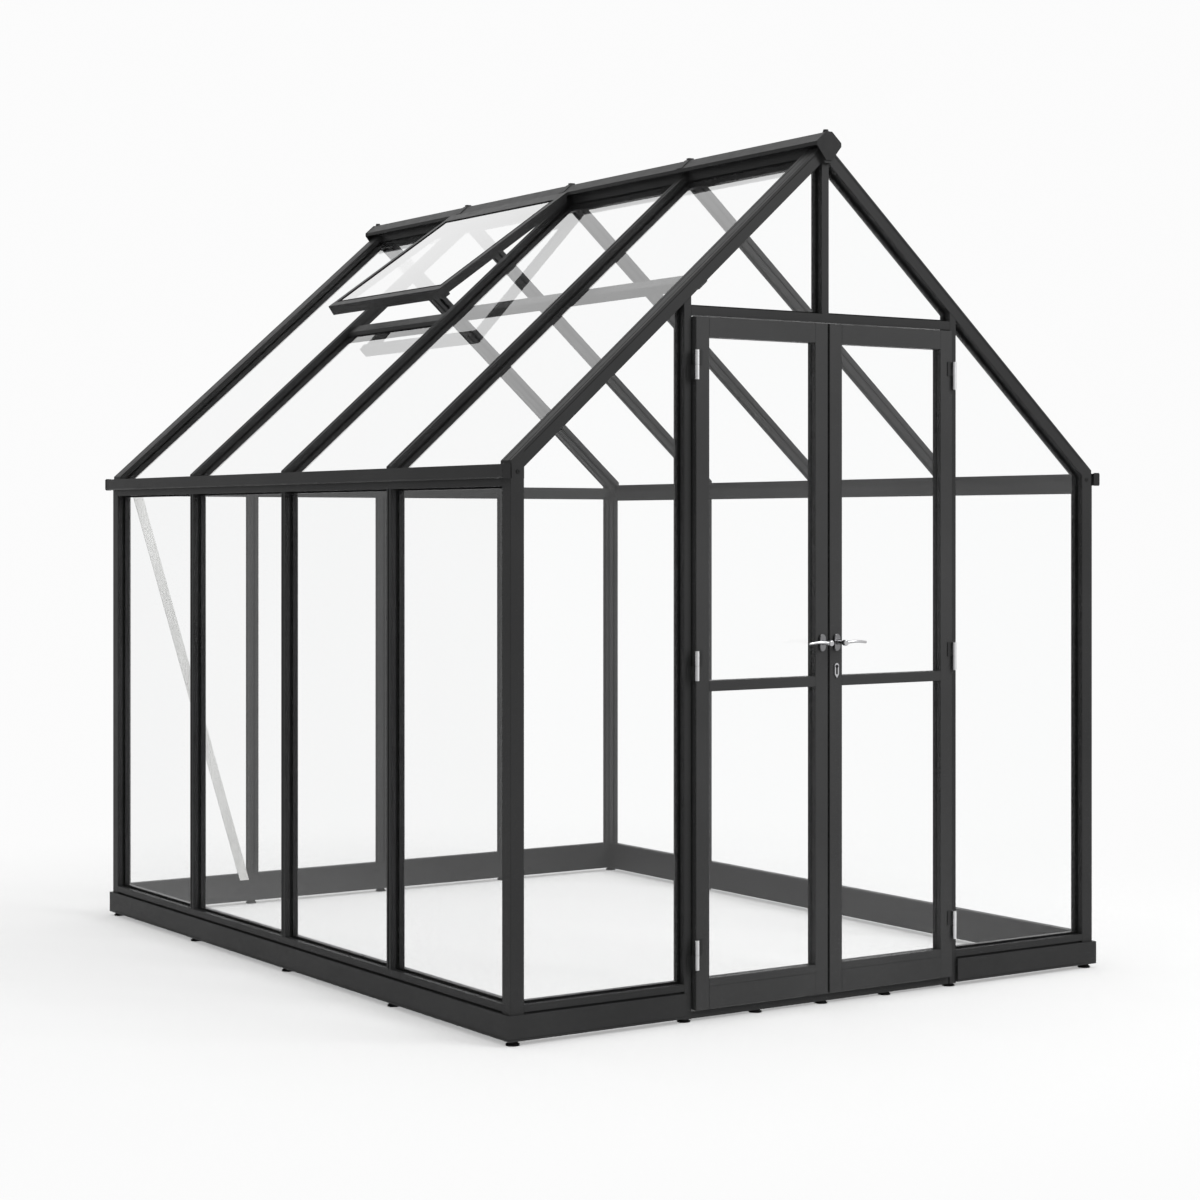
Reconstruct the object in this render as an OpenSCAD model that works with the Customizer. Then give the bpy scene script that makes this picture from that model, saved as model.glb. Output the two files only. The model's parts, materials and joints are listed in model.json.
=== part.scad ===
// Walk-in garden greenhouse: glazed walls, pitched glass roof, twin doors and a roof vent.
// Sizes are in millimetres, the doors face -Y and the floor is at zero height.

/* [Overall] */
// outside width of the base
base_width = 2400; // [2100:10:2900]
// outside length of the base
base_length = 3010; // [2400:10:4000]
// height of the gutter rim above the floor
eave_height = 1721; // [1500:1:1900]
// height of the ridge top above the floor
ridge_height = 2803; // [2700:1:3100]

/* [Base] */
// diameter of a levelling foot
foot_d = 42; // [30:1:50]
// height of a levelling foot
foot_h = 15; // [8:1:30]
// distance of a foot centre from the base faces
foot_in = 30; // [26:1:40]
// height of the base rail
base_h = 77; // [60:1:110]
// width of the base rail
base_w = 60; // [56:1:80]
// top of the door threshold above the floor
sill_h = 32; // [24:1:33]
// height of the feet under the threshold
sill_low = 10; // [6:1:14]
// height of the shadow line above the base bottom
line_z = 7; // [5:1:14]
// chamfer of the frame edges
edge = 1.2; // [0.5:0.1:2]

/* [Frame] */
// setback of the wall frame from the base faces
post_set = 10; // [4:1:20]
// side of the corner post
post_w = 48; // [42:1:60]
// width of the glazing bar outside the glass
nose_w = 28; // [22:1:36]
// depth of the glass behind the outer faces
glass_set = 25; // [15:1:30]
// thickness of the glass
glass_t = 4; // [3:0.5:6]
// width of the ledge behind the glass edge
lap = 6; // [4:1:10]
// clearance round the glass edge
glass_gap = 1; // [0.5:0.5:2]
// height of the wall sill rail
rail_h = 28; // [22:1:40]
// height of the shadow groove under the sill rail
groove_h = 6; // [3:1:10]
// depth of the shadow groove under the sill rail
groove_d = 10; // [4:1:20]
// width of the bolt slot inside a glazing bar
slot_w = 10; // [6:1:14]
// depth of the bolt slot inside a glazing bar
slot_d = 6; // [3:1:10]
// width of the groove along the face of a glazing bar
flute_w = 8; // [5:1:12]
// depth of the groove along the face of a glazing bar
flute_d = 3; // [1:0.5:6]
// play between a pane and the ledge it lies on
seat_gap = 0.05; // [0.02:0.01:0.2]
// height of the rail under the eave
top_rail_h = 23; // [18:1:40]

/* [Eaves and roof] */
// height of the gutter
gutter_h = 42; // [30:1:60]
// reach of the gutter past the base face
gutter_out = 19; // [10:1:40]
// wall thickness of the gutter
gutter_t = 3; // [2:0.5:5]
// setback of the gutter ends from the base ends
gutter_end = 4; // [0:1:10]
// thickness of the gutter end cap
cap_t = 4; // [3:1:8]
// rise of the roof line over the gutter rim
roof_lift = 8; // [4:1:20]
// height of the gable rafter
rafter_h = 44; // [38:1:60]
// width and depth of the groove on the rafter
rib = 3; // [2:0.5:5]
// reach of the rafter lip over the roof pane
lip_w = 14; // [8:1:18]
// thickness of the rafter lip
lip_t = 20; // [10:1:21]
// distance of the line on the rafter face from its upper edge
face_line = 9; // [5:1:16]
// depth of the line on the rafter face
face_cut = 1.5; // [0.5:0.5:3]
// half thickness of the ridge web
ridge_half = 15; // [10:1:24]
// half width of the ridge capping
ridge_cap = 48; // [40:1:60]
// half width of the flat on the ridge capping
ridge_flat = 12; // [8:1:16]
// height of the ridge capping over the roof line
ridge_over = 27; // [20:1:40]
// reach of the ridge past the base ends
ridge_end = 6; // [0:1:30]
// height of the edge of the ridge capping
ridge_lip = 12; // [8:1:18]
// width of a ridge strap
strap_w = 30; // [20:1:40]
// thickness of a ridge strap
strap_t = 3; // [2:0.5:5]
// wall thickness of the eave beam
beam_t = 14; // [10:1:20]
// height of the back eave tie
tie_h = 50; // [36:1:60]

/* [Doors] */
// half width of the doorway leaves from the centre
leaf_out = 526; // [450:1:600]
// gap between the two leaves
leaf_gap = 8; // [6:1:14]
// gap between a leaf and the frame
leaf_play = 5; // [5:0.5:8]
// height of the leaf bottom above the floor
leaf_low = 38; // [36:1:60]
// drop of the door header below the rafter ledge
head_drop = 22; // [10:1:60]
// thickness of the leaf
leaf_t = 40; // [34:1:50]
// reach of the leaf past the base face
leaf_fwd = 8; // [0:1:12]
// width of the leaf stile
stile_w = 51; // [40:1:60]
// height of the leaf top rail
head_h = 63; // [45:1:80]
// height of the leaf middle rail
mid_h = 33; // [25:1:50]
// height of the middle rail top above the floor
mid_z = 1057; // [900:1:1200]
// height of the leaf bottom rail
kick_h = 95; // [70:1:130]
// height of the bead over the kick panel
bead_h = 24; // [16:1:40]
// depth of the glass groove in the leaf
groove = 6; // [4:1:10]

/* [Hinges and handles] */
// length of a hinge
hinge_l = 92; // [60:2:120]
// diameter of the hinge knuckle
knuckle_d = 14; // [12:1:18]
// diameter of the hinge pin
pin_d = 7; // [5:0.5:8]
// radial play of the hinge pin
pin_play = 0.5; // [0.3:0.1:1]
// thickness of a hinge plate
plate_t = 3; // [2:0.5:4]
// width of a hinge plate
plate_w = 20; // [18:1:28]
// height of the lever axis above the floor
lever_z = 1164; // [1090:1:1300]
// distance of the lever axis from the meeting edge
lever_in = 26; // [22:1:28]
// length of the lever from its axis
lever_l = 88; // [70:1:120]
// height of the lever grip
lever_h = 11; // [9:1:16]
// rise of the bowed lever grip
lever_bow = 3.5; // [2:0.5:6]
// diameter of the lever boss
boss_d = 20; // [18:1:24]
// length of the lever boss
boss_l = 16; // [14:1:22]
// diameter of the lever neck
neck_d = 14; // [12:1:16]
// reach of the lever neck from the rose
neck_l = 30; // [20:1:50]
// width of the handle rose
rose_w = 26; // [24:1:34]
// height of the handle rose
rose_h = 55; // [44:1:70]
// thickness of the handle rose
rose_t = 8; // [5:1:12]
// drop of the lock plate below the lever axis
lock_drop = 91; // [70:1:110]
// width of the lock plate
lock_w = 17; // [14:1:22]
// height of the lock plate
lock_h = 48; // [40:1:60]

/* [Vent and braces] */
// length of the roof vent down the slope
vent_l = 640; // [450:5:760]
// opening angle of the fixed roof vent
vent_open = 6; // [5:1:40]
// width of the vent frame members
vent_w = 30; // [22:1:40]
// thickness of the vent frame
vent_t = 32; // [18:1:36]
// reach of the vent past the bar centres
vent_lap = 48; // [16:1:56]
// drop of the vent bottom rail below the vent frame
vent_drop = 8; // [0:1:16]
// distance of the purlin from the ridge down the slope
purlin_s = 580; // [400:5:900]
// height of the purlin under the roof bars
purlin_t = 22; // [16:1:30]
// width of the purlin down the slope
purlin_w = 40; // [30:1:60]
// width of the wall brace
brace_w = 40; // [20:1:50]
// thickness of the wall brace
brace_t = 4; // [3:1:6]

/* [Hidden] */
$fn = 48;
bays = 4;
half = base_width / 2;
front_reach = leaf_fwd + rose_t + neck_l + boss_l;
y_mid = (front_reach - ridge_end - cap_t) / 2;
front = y_mid - base_length / 2;
back = y_mid + base_length / 2;
base_top = foot_h + base_h;
eave_low = eave_height - gutter_h;
seat = glass_set + glass_t;
wall = half - post_set;
wall_in = wall - post_w;
sill_top = base_top + rail_h;
top_low = eave_low - top_rail_h;
apex = ridge_height - ridge_over;
pitch = atan((apex - eave_height - roof_lift) / wall);
slope = tan(pitch);
lean = cos(pitch);
ridge_low = roof_z(ridge_half, rafter_h);
ridge_edge = ridge_height - (ridge_cap - ridge_flat) * slope;
bar_w = nose_w + 2 * lap;
y_face = front + post_set;
y_in = y_face + post_w;
y_leaf = front - leaf_fwd;
jamb_in = leaf_out + leaf_play;
jamb_out = jamb_in + nose_w;
head_top = roof_z(jamb_in, rafter_h + lap) - head_drop;
head_low = head_top - nose_w;
leaf_high = head_low - leaf_play;
tie_low = top_low;
tie_top = tie_low + tie_h;
hinge_x = leaf_out + leaf_play / 2;
hinge_y = y_leaf - knuckle_d / 2 - 1.5;
back_in = 2 * y_mid - y_in;
back_face = 2 * y_mid - y_face;
hinge_zs = [leaf_low + 173, lever_z - 59, leaf_high - 150];
lever_x = leaf_gap / 2 + lever_in;
rose_y = y_leaf - rose_t;
glass_y = y_leaf + 20;
vent_x = ridge_cap + 3;
vent_z = ridge_edge;
vent_a = pitch - vent_open;
vent_y0 = front + base_length / 2 - vent_lap;
vent_y1 = front + base_length * 3 / 4 + vent_lap;
purlin_x = purlin_s * lean;
sill_x = vent_x + vent_l * lean - 18;

// height of a plane at the given depth under the roof line
function roof_z(x, d) = apex - x * slope - d / cos(pitch);
// distance from the centre where that plane has the given height
function roof_x(z, d) = (apex - z - d / cos(pitch)) / slope;
// rectangle with chamfered corners
function chamfered(x0, x1, y0, y1, e) = [[x0 + e, y0], [x1 - e, y0], [x1, y0 + e], [x1, y1 - e],
    [x1 - e, y1], [x0 + e, y1], [x0, y1 - e], [x0, y0 + e]];
// section of a glazing bar, outer part and inner part, depth measured from the outer face
function nose_shape(c, s) = [[c - nose_w / 2 + edge, 0], [c - flute_w / 2, 0],
    [c - flute_w / 2 + 1, s * flute_d], [c + flute_w / 2 - 1, s * flute_d], [c + flute_w / 2, 0],
    [c + nose_w / 2 - edge, 0], [c + nose_w / 2, s * edge], [c + nose_w / 2, s * seat],
    [c - nose_w / 2, s * seat], [c - nose_w / 2, s * edge]];
function core_shape(c, s, d) = [[c - bar_w / 2, s * seat], [c + bar_w / 2, s * seat],
    [c + bar_w / 2, s * d], [c + slot_w / 2, s * d], [c + slot_w / 2, s * (d - slot_d)],
    [c - slot_w / 2, s * (d - slot_d)], [c - slot_w / 2, s * d], [c - bar_w / 2, s * d]];
// position of a bay line along the length and across the width
function bay_y(k) = front + base_length * k / bays;
function bay_x(k) = -half + base_width * k / bays;

// block between two corners
module block(x0, x1, y0, y1, z0, z1) {
    translate([x0, y0, z0])
        cube([x1 - x0, y1 - y0, z1 - z0]);
}

// shape in the end plane drawn out along the length
module along_y(points, y0, y1) {
    translate([0, y1, 0])
        rotate([90, 0, 0])
            linear_extrude(y1 - y0)
                polygon(points);
}

// shape in the side plane drawn out across the width
module along_x(points, x0, x1) {
    translate([x0, 0, 0])
        rotate([90, 0, 90])
            linear_extrude(x1 - x0)
                polygon(points);
}

// shape on the right and its mirror on the left
module both_sides() {
    children();
    mirror([1, 0, 0])
        children();
}

// shape at the front and its mirror at the back
module both_ends() {
    children();
    translate([0, 2 * y_mid, 0])
        mirror([0, 1, 0])
            children();
}

// section drawn out down the right roof slope and cut upright at both ends
module down_slope(points, x0, x1, z0 = eave_low) {
    intersection() {
        translate([0, 0, apex])
            rotate([0, pitch, 0])
                along_x(points, 0, wall / lean + 60);
        block(x0, x1, front - 10, back + 10, z0, apex);
    }
}

// slab lying in the right roof slope between two depths
module slab(x0, x1, d0, d1, y0, y1) {
    along_y([[x0, roof_z(x0, d0)], [x1, roof_z(x1, d0)], [x1, roof_z(x1, d1)], [x0, roof_z(x0, d1)]],
        y0, y1);
}

// cuts a shape off at a depth under both roof slopes
module under_roof(d) {
    intersection() {
        children();
        along_y([[-roof_x(0, d), 0], [roof_x(0, d), 0], [0, roof_z(0, d)]], front - 10, back + 10);
    }
}

// round foot with a narrower neck
module foot(h) {
    cylinder(h = h / 3, d = foot_d);
    translate([0, 0, h / 3])
        cylinder(h = h / 6, d1 = foot_d, d2 = foot_d - 10);
    cylinder(h = h, d = foot_d - 10);
}

module levelling_feet() {
    color("#161616") {
        both_sides() {
            both_ends()
                translate([half - foot_in, front + foot_in, 0])
                    foot(foot_h);
            for (k = [1 : bays - 1])
                translate([half - foot_in, bay_y(k), 0])
                    foot(foot_h);
            translate([jamb_in + nose_w / 2, front + foot_in + 3, 0])
                foot(sill_low);
            translate([jamb_in / 2, front + foot_in + 3, 0])
                foot(sill_low);
        }
        for (k = [1 : bays - 1])
            translate([bay_x(k), back - foot_in, 0])
                foot(foot_h);
        translate([0, front + foot_in + 3, 0])
            foot(sill_low);
    }
}

// section of a base rail measured inwards from its outer face, with a shadow line low on that face
function base_shape(s, c) = [[c, foot_h + edge], [c, foot_h + line_z - 1.5], [c + s * 1.5, foot_h + line_z],
    [c, foot_h + line_z + 1.5], [c, base_top - edge], [c + s * edge, base_top], [c + s * base_w, base_top],
    [c + s * base_w, foot_h], [c + s * edge, foot_h]];

module front_base_rails() {
    color("#2b2c2e") {
        along_x(base_shape(1, front), jamb_out, half - base_w);
        intersection() {
            along_x(base_shape(1, front), -half, -jamb_out);
            linear_extrude(base_top)
                polygon([[-half, front], [-jamb_out, front], [-jamb_out, front + base_w],
                    [base_w - half, front + base_w]]);
        }
    }
}

module side_base_rails() {
    color("#2b2c2e") {
        along_y(base_shape(-1, half), front, back - base_w);
        intersection() {
            along_y(base_shape(1, -half), front, back - base_w);
            linear_extrude(base_top)
                polygon([[-half, front], [base_w - half, front + base_w], [base_w - half, back - base_w],
                    [-half, back - base_w]]);
        }
    }
}

module back_base_rail() {
    color("#2b2c2e")
        along_x(base_shape(-1, back), -half, half);
}

module jamb_feet() {
    color("#2b2c2e")
        both_sides()
            block(jamb_in, jamb_out, y_face, front + base_w, sill_low, base_top);
}

module door_threshold() {
    color("#2b2c2e")
        block(-jamb_in, jamb_in, y_face + 4, front + base_w, sill_low, sill_h);
}

// corner post with ledges for the side pane and the end pane
module corner_post(pane_top) {
    translate([0, 0, base_top])
        linear_extrude(eave_low - base_top)
            polygon([[wall_in + edge, y_face], [wall - edge, y_face], [wall, y_face + edge],
                [wall, y_in - edge], [wall - edge, y_in], [wall_in, y_in], [wall_in, y_face + edge]]);
    block(wall_in, wall - seat, y_in, y_in + lap, sill_top + lap, top_low - lap);
    block(wall_in - lap, wall_in, y_face + seat, y_in, sill_top + lap, pane_top);
}

module corner_posts() {
    color("#2b2c2e")
        both_sides() {
            corner_post(eave_low);
            translate([0, 2 * y_mid, 0])
                mirror([0, 1, 0])
                    corner_post(tie_low);
        }
}

// upright glazing bar standing at the front of its own frame
module stud(nose_top, core_top) {
    translate([0, 0, sill_top])
        linear_extrude(nose_top - sill_top)
            polygon(nose_shape(0, 1));
    translate([0, 0, sill_top + lap])
        linear_extrude(core_top - sill_top - lap)
            polygon(core_shape(0, 1, post_w));
}

module wall_studs() {
    color("#2b2c2e") {
        both_sides()
            for (k = [1 : bays - 1])
                translate([wall, bay_y(k), 0])
                    rotate([0, 0, 90])
                        stud(top_low, top_low - lap);
        for (k = [1 : bays - 1])
            translate([bay_x(k), back_face, 0])
                rotate([0, 0, 180])
                    stud(tie_low + lap, tie_low);
    }
}

// section of a sill rail measured inwards from the wall face
function sill_shape(s, c) = [[c + s * groove_d, base_top], [c + s * post_w, base_top],
    [c + s * post_w, sill_top + lap], [c + s * seat, sill_top + lap], [c + s * seat, sill_top],
    [c, sill_top], [c, base_top + groove_h], [c + s * groove_d, base_top + groove_h]];

module side_sill_rails() {
    color("#2b2c2e")
        both_sides()
            along_y(sill_shape(-1, wall), y_in, back_in);
}

module end_sill_rails() {
    color("#2b2c2e") {
        both_sides()
            along_x(sill_shape(1, y_face), jamb_out, wall_in);
        along_x(sill_shape(-1, back_face), -wall_in, wall_in);
    }
}

module wall_top_rails() {
    color("#2b2c2e")
        both_sides()
            along_y([[wall, eave_low], [wall, top_low], [wall - seat, top_low], [wall - seat, top_low - lap],
                [wall_in, top_low - lap], [wall_in, eave_low]], y_in, back_in);
}

module eave_beams() {
    color("#2b2c2e")
        both_sides()
            along_y([[wall, eave_low], [wall, roof_z(wall, seat + seat_gap)],
                [wall - beam_t, roof_z(wall - beam_t, seat + seat_gap)], [wall - beam_t, eave_low + beam_t],
                [wall_in, eave_low + beam_t], [wall_in, eave_low]], y_in, back_in);
}

module gutters() {
    color("#2b2c2e")
        both_sides()
            along_y([[wall, eave_low], [half + gutter_out - 4, eave_low], [half + gutter_out, eave_low + 4],
                [half + gutter_out, eave_height], [half + gutter_out - 5, eave_height],
                [half + gutter_out - 5, eave_height - 5],
                [half + gutter_out - gutter_t, eave_height - 5],
                [half + gutter_out - gutter_t, eave_low + gutter_t],
                [wall + gutter_t, eave_low + gutter_t], [wall + gutter_t, roof_z(wall, seat) - 2],
                [wall, roof_z(wall, seat) - 2]], front + gutter_end + cap_t, back - gutter_end - cap_t);
}

// rectangle with rounded corners in the end plane
module rounded(x0, x1, z0, z1, r) {
    translate([x0 + r, z0])
        square([x1 - x0 - 2 * r, z1 - z0]);
    translate([x0, z0 + r])
        square([x1 - x0, z1 - z0 - 2 * r]);
    for (x = [x0 + r, x1 - r], z = [z0 + r, z1 - r])
        translate([x, z])
            circle(r = r);
}

module gutter_end_caps() {
    color("#2b2c2e")
        both_sides()
            both_ends()
                translate([0, front + gutter_end + cap_t, 0])
                    rotate([90, 0, 0])
                        linear_extrude(cap_t)
                            rounded(wall + gutter_t, half + gutter_out + 1.5, eave_low - 1,
                                eave_height + 2, 6);
}

module back_eave_tie() {
    color("#2b2c2e")
        translate([0, 2 * y_mid, 0])
            mirror([0, 1, 0]) {
                under_roof(rafter_h + seat_gap)
                    block(-wall_in, wall_in, y_face, y_face + seat, tie_low + lap, tie_top - lap);
                under_roof(rafter_h + lap + seat_gap)
                    block(-wall_in, wall_in, y_face + seat, y_in, tie_low, tie_top);
            }
}

// gable rafter with ledges for the roof pane and the gable pane
module gable_rafter() {
    down_slope([[y_face, -edge], [y_face + edge, 0], [y_face + 14, 0], [y_face + 14, -rib],
        [y_face + 14 + rib, -rib], [y_face + 14 + rib, 0], [y_in - 4, 0], [y_in - 4, -rib],
        [y_in - 4 + rib, -rib], [y_in - 4 + rib, 0], [y_in + lip_w - edge, 0], [y_in + lip_w, -edge],
        [y_in + lip_w, -lip_t], [y_in, -lip_t], [y_in, -rafter_h], [y_face + edge, -rafter_h],
        [y_face, edge - rafter_h], [y_face, -face_line - face_cut], [y_face + face_cut, -face_line],
        [y_face, face_cut - face_line]], ridge_half, wall - 4);
    along_y([[wall - 4, roof_z(wall - 4, rib + 2)], [wall - 4, eave_low], [wall_in, eave_low],
        [wall_in, roof_z(wall_in, rib + 2)]], y_face, y_in);
    slab(ridge_half, wall_in, seat, rafter_h, y_in - lap, y_in + lap);
    slab(ridge_half, wall_in - lap, rafter_h - lap, rafter_h + lap, y_face + seat, y_in);
}

module gable_rafters() {
    color("#2b2c2e")
        both_sides()
            both_ends()
                gable_rafter();
}

module roof_bars() {
    color("#2b2c2e")
        both_sides()
            for (k = [1 : bays - 1]) {
                down_slope(nose_shape(bay_y(k), -1), ridge_half, wall);
                down_slope(core_shape(bay_y(k), -1, rafter_h), ridge_half, wall - beam_t - seat_gap,
                    eave_low + beam_t);
            }
}

module ridge_beam() {
    color("#2b2c2e")
        along_y([[-ridge_flat, ridge_height], [ridge_flat, ridge_height], [ridge_cap, ridge_edge],
            [ridge_cap, ridge_edge - ridge_lip], [ridge_cap - 4, ridge_edge - ridge_lip],
            [ridge_cap - 4, ridge_edge - 6], [ridge_half, roof_z(ridge_half, 0) + 6],
            [ridge_half, ridge_low], [-ridge_half, ridge_low], [-ridge_half, roof_z(ridge_half, 0) + 6],
            [4 - ridge_cap, ridge_edge - 6], [4 - ridge_cap, ridge_edge - ridge_lip],
            [-ridge_cap, ridge_edge - ridge_lip], [-ridge_cap, ridge_edge]],
            front - ridge_end, back + ridge_end);
}

module ridge_end_caps() {
    color("#2b2c2e")
        both_ends()
            along_y([[-ridge_flat, ridge_height + 2], [ridge_flat, ridge_height + 2],
                [ridge_cap + 2, ridge_edge], [ridge_cap + 2, ridge_edge - ridge_lip],
                [ridge_flat, ridge_low + 8], [-ridge_flat, ridge_low + 8],
                [-ridge_cap - 2, ridge_edge - ridge_lip], [-ridge_cap - 2, ridge_edge]],
                front - ridge_end - cap_t, front - ridge_end);
}

module ridge_straps() {
    color("#2b2c2e") {
        for (k = [1 : bays - 1]) {
            along_y([[ridge_flat, ridge_height], [ridge_cap, ridge_edge], [ridge_cap, ridge_edge + strap_t],
                [ridge_flat, ridge_height + strap_t], [-ridge_flat, ridge_height + strap_t],
                [-ridge_cap, ridge_edge + strap_t], [-ridge_cap, ridge_edge], [-ridge_flat, ridge_height]],
                bay_y(k) - strap_w / 2, bay_y(k) + strap_w / 2);
            block(2 - ridge_flat, ridge_flat - 2, bay_y(k) - 8, bay_y(k) + 8, ridge_height,
                ridge_height + 9);
        }
        for (y = [front + 8, back - 8])
            translate([0, y, ridge_height])
                cylinder(h = 10, d1 = 22, d2 = 16);
    }
}

// door jamb with a ledge for the side pane, cut off under the rafter
module door_jamb() {
    under_roof(rafter_h + seat_gap)
        translate([0, 0, base_top])
            linear_extrude(apex - base_top)
                polygon([[jamb_in + edge, y_face], [jamb_out - edge, y_face], [jamb_out, y_face + edge],
                    [jamb_out, y_face + seat], [jamb_in, y_face + seat], [jamb_in, y_face + edge]]);
    under_roof(rafter_h + lap + seat_gap)
        along_y([[jamb_in, base_top], [jamb_out, base_top], [jamb_out, sill_top + lap],
            [jamb_out + lap, sill_top + lap], [jamb_out + lap, apex], [jamb_in, apex]], y_face + seat, y_in);
}

module door_jambs() {
    color("#2b2c2e")
        both_sides()
            door_jamb();
}

module door_header() {
    color("#2b2c2e")
        along_x([[y_face, head_low], [y_in, head_low], [y_in, head_top + lap],
            [y_face + seat, head_top + lap], [y_face + seat, head_top], [y_face, head_top]],
            -jamb_in, jamb_in);
}

module gable_mullion() {
    color("#2b2c2e") {
        block(-nose_w / 2, nose_w / 2, y_face, y_face + seat, head_top, ridge_low);
        under_roof(rafter_h + lap + seat_gap)
            block(-bar_w / 2, bar_w / 2, y_face + seat, y_in, head_top + lap, ridge_low);
    }
}

// places a shape in the frame of the open roof vent, x running down from its hinge
module on_vent() {
    mirror([1, 0, 0])
        translate([vent_x, 0, vent_z])
            rotate([0, vent_a, 0])
                children();
}

module vent_stiles() {
    color("#2b2c2e")
        on_vent() {
            along_x(chamfered(vent_y0, vent_y0 + vent_w, -vent_t, 0, edge), vent_w + 20 + seat_gap,
                vent_l - seat_gap);
            along_x(chamfered(vent_y1 - vent_w, vent_y1, -vent_t, 0, edge), vent_w + 20 + seat_gap,
                vent_l - seat_gap);
        }
}

// point of the vent frame, u down from the hinge and w out from its upper face
function vent_pt(u, w) = [-vent_x - u * cos(vent_a) - w * sin(vent_a),
    vent_z - u * sin(vent_a) + w * cos(vent_a)];

module vent_rails() {
    color("#2b2c2e") {
        along_y([[-ridge_cap, vent_z], vent_pt(0, 0), vent_pt(vent_w + 20, 0), vent_pt(vent_w + 20, -vent_t),
            vent_pt(24, -vent_t), [-vent_x - 1, vent_z - ridge_lip], [-ridge_cap, vent_z - ridge_lip]],
            vent_y0, vent_y1);
        on_vent()
            along_y(chamfered(vent_l, vent_l + vent_w, -vent_t - vent_drop, 0, edge), vent_y0, vent_y1);
    }
}

module vent_glass() {
    color("#c8d8dc")
        on_vent()
            block(vent_w + 20 + seat_gap, vent_l - seat_gap, vent_y0 + vent_w + seat_gap,
                vent_y1 - vent_w - seat_gap, -glass_t - 2, -2);
}

module vent_sill() {
    color("#2b2c2e")
        mirror([1, 0, 0])
            slab(sill_x, sill_x + vent_w, glass_set / 2, rafter_h, bay_y(2) + bar_w / 2,
                bay_y(3) - bar_w / 2);
}

module roof_purlin() {
    color("#2b2c2e")
        mirror([1, 0, 0])
            slab(purlin_x, purlin_x + purlin_w * lean, rafter_h + seat_gap, rafter_h + purlin_t,
                y_in + seat_gap, bay_y(2) + bar_w / 2);
}

module wall_brace() {
    x0 = 3 - wall_in;
    x1 = bay_x(1) - bar_w / 2 - 4 - brace_w;
    color("#c9c9c7")
        along_y([[x0, tie_top - 8], [x0 + brace_w, tie_top - 8], [x1 + brace_w, base_top + 8],
            [x1, base_top + 8]], back_in - brace_t, back_in);
}

module wall_glass() {
    color("#c8d8dc") {
        both_sides()
            for (k = [0 : bays - 1])
                block(wall - seat, wall - glass_set,
                    k == 0 ? y_in + glass_gap : bay_y(k) + nose_w / 2 + glass_gap,
                    k == bays - 1 ? back_in - glass_gap : bay_y(k + 1) - nose_w / 2 - glass_gap,
                    sill_top + glass_gap, top_low - glass_gap);
        translate([0, 2 * y_mid, 0])
            mirror([0, 1, 0])
                for (k = [0 : bays - 1])
                    block(k == 0 ? glass_gap - wall_in : bay_x(k) + nose_w / 2 + glass_gap,
                        k == bays - 1 ? wall_in - glass_gap : bay_x(k + 1) - nose_w / 2 - glass_gap,
                        y_face + glass_set, y_face + seat, sill_top + glass_gap, tie_low + lap - glass_gap);
    }
}

module front_glass() {
    color("#c8d8dc")
        both_sides()
            under_roof(rafter_h + 2)
                block(jamb_out + glass_gap, wall_in - glass_gap, y_face + glass_set, y_face + seat,
                    sill_top + glass_gap, apex);
}

module gable_glass() {
    color("#c8d8dc") {
        both_sides()
            under_roof(rafter_h + 2)
                block(nose_w / 2 + glass_gap, jamb_in - glass_gap, y_face + glass_set, y_face + seat,
                    head_top + glass_gap, ridge_low - glass_gap);
        translate([0, 2 * y_mid, 0])
            mirror([0, 1, 0])
                under_roof(rafter_h + 2)
                    block(glass_gap - wall_in, wall_in - glass_gap, y_face + glass_set, y_face + seat,
                        tie_top - lap + glass_gap, ridge_low - glass_gap);
    }
}

module roof_glass() {
    color("#c8d8dc") {
        for (k = [0 : bays - 1])
            slab(ridge_half + 2, wall - 2, glass_set, seat - seat_gap,
                k == 0 ? y_in + glass_gap : bay_y(k) + nose_w / 2 + glass_gap,
                k == bays - 1 ? back_in - glass_gap : bay_y(k + 1) - nose_w / 2 - glass_gap);
        mirror([1, 0, 0])
            for (k = [0 : bays - 1])
                slab(k == 2 ? sill_x + vent_w : ridge_half + 2, wall - 2, glass_set, seat - seat_gap,
                    k == 0 ? y_in + glass_gap : bay_y(k) + nose_w / 2 + glass_gap,
                    k == bays - 1 ? back_in - glass_gap : bay_y(k + 1) - nose_w / 2 - glass_gap);
    }
}

// fixed half of the right door hinge with its pin
module frame_hinge() {
    translate([hinge_x, hinge_y, -hinge_l / 2])
        cylinder(h = hinge_l / 2 - 0.5, d = knuckle_d);
    translate([hinge_x, hinge_y, -hinge_l / 2])
        cylinder(h = hinge_l, d = pin_d);
    block(hinge_x + 3, hinge_x + 3 + plate_t, hinge_y, y_face, -hinge_l / 2, -0.5);
    block(hinge_x + 3, hinge_x + 3 + plate_w, y_face - plate_t, y_face, -hinge_l / 2, -0.5);
}

module frame_hinges() {
    color("#b9bbbd")
        both_sides()
            for (z = hinge_zs)
                translate([0, 0, z])
                    frame_hinge();
}

// right leaf, stiles running the full height with a groove for the glass
module door_stiles() {
    difference() {
        translate([0, 0, leaf_low])
            linear_extrude(leaf_high - leaf_low) {
                polygon(chamfered(leaf_gap / 2, leaf_gap / 2 + stile_w, y_leaf, y_leaf + leaf_t, edge));
                polygon(chamfered(leaf_out - stile_w, leaf_out, y_leaf, y_leaf + leaf_t, edge));
            }
        block(leaf_gap / 2 + stile_w - groove, leaf_out - stile_w + groove, glass_y, glass_y + glass_t,
            leaf_low + kick_h - groove, leaf_high - head_h + groove);
        translate([lever_x, y_leaf + 24, lever_z])
            rotate([90, 0, 0])
                cylinder(h = 25, d = neck_d + 1);
    }
}

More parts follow.
